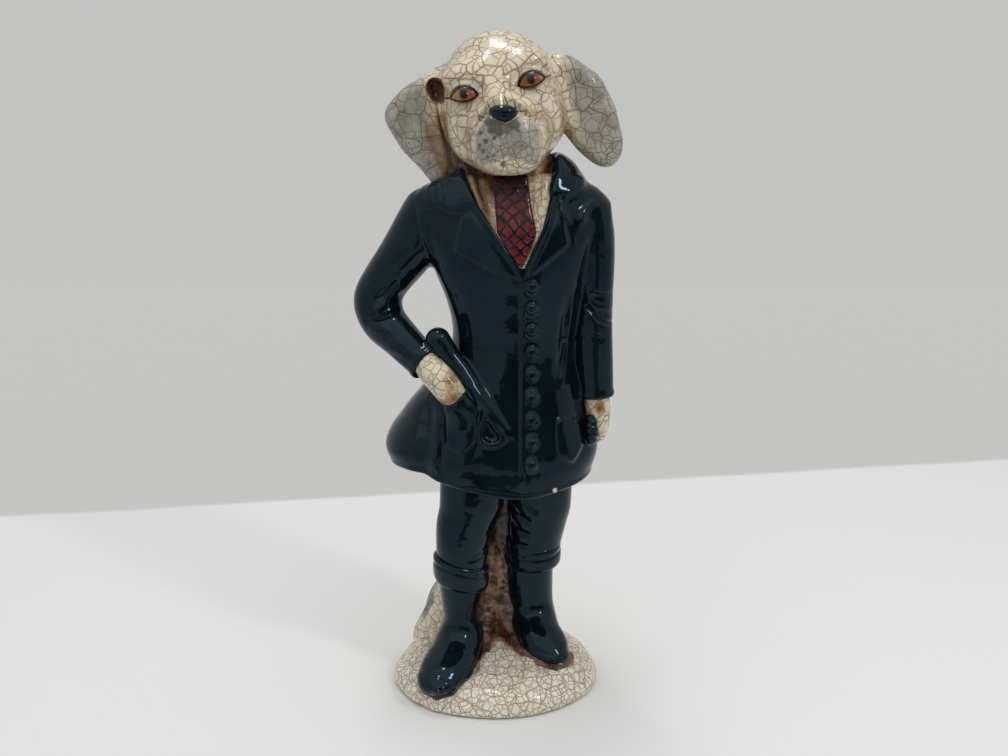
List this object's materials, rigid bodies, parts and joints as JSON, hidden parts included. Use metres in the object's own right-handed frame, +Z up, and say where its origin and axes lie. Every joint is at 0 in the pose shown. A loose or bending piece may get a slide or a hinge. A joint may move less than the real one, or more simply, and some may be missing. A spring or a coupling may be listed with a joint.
{
  "type": "dog figurine",
  "caption": "Standing dog figurine in a long buttoned riding coat, breeches and cuffed boots, on an oval mound with a tree stump; crackle-glazed ceramic ornament.",
  "frame": {"origin": "middle of the mound's flat underside, on the surface it stands on", "axes": "+Z up; the dog looks along -Y; its right hand is at -X"},
  "size_m": [0.1196, 0.079, 0.3016],
  "materials": {
    "cream_glaze": "gloss",
    "grey_glaze": "gloss",
    "black_glaze": "gloss",
    "bark_glaze": "gloss",
    "sole_glaze": "gloss",
    "red_glaze": "gloss",
    "amber_glaze": "gloss"
  },
  "bodies": {
    "root": {"mound": "cream_glaze", "right_paw": "cream_glaze", "left_paw": "cream_glaze", "neck": "cream_glaze", "shirt_front": "cream_glaze", "head": "cream_glaze", "right_ear": "cream_glaze", "left_ear": "cream_glaze", "muzzle": "grey_glaze", "stump": "bark_glaze", "right_boot": "black_glaze", "right_cuff": "black_glaze", "right_leg": "black_glaze", "right_sleeve": "black_glaze", "right_lapel": "black_glaze", "right_pocket": "black_glaze", "right_sole": "sole_glaze", "right_eye": "amber_glaze", "left_boot": "black_glaze", "left_cuff": "black_glaze", "left_leg": "black_glaze", "left_sleeve": "black_glaze", "left_lapel": "black_glaze", "left_pocket": "black_glaze", "left_sole": "sole_glaze", "left_eye": "amber_glaze", "coat": "black_glaze", "collar": "black_glaze", "riding_crop": "black_glaze", "crop_loop": "black_glaze", "glove": "black_glaze", "nose": "black_glaze", "tie": "red_glaze", "coat_button_1": "black_glaze", "coat_button_2": "black_glaze", "coat_button_3": "black_glaze", "coat_button_4": "black_glaze", "coat_button_5": "black_glaze", "coat_button_6": "black_glaze", "coat_button_7": "black_glaze", "coat_button_8": "black_glaze", "coat_button_9": "black_glaze"}
  },
  "joints": []
}
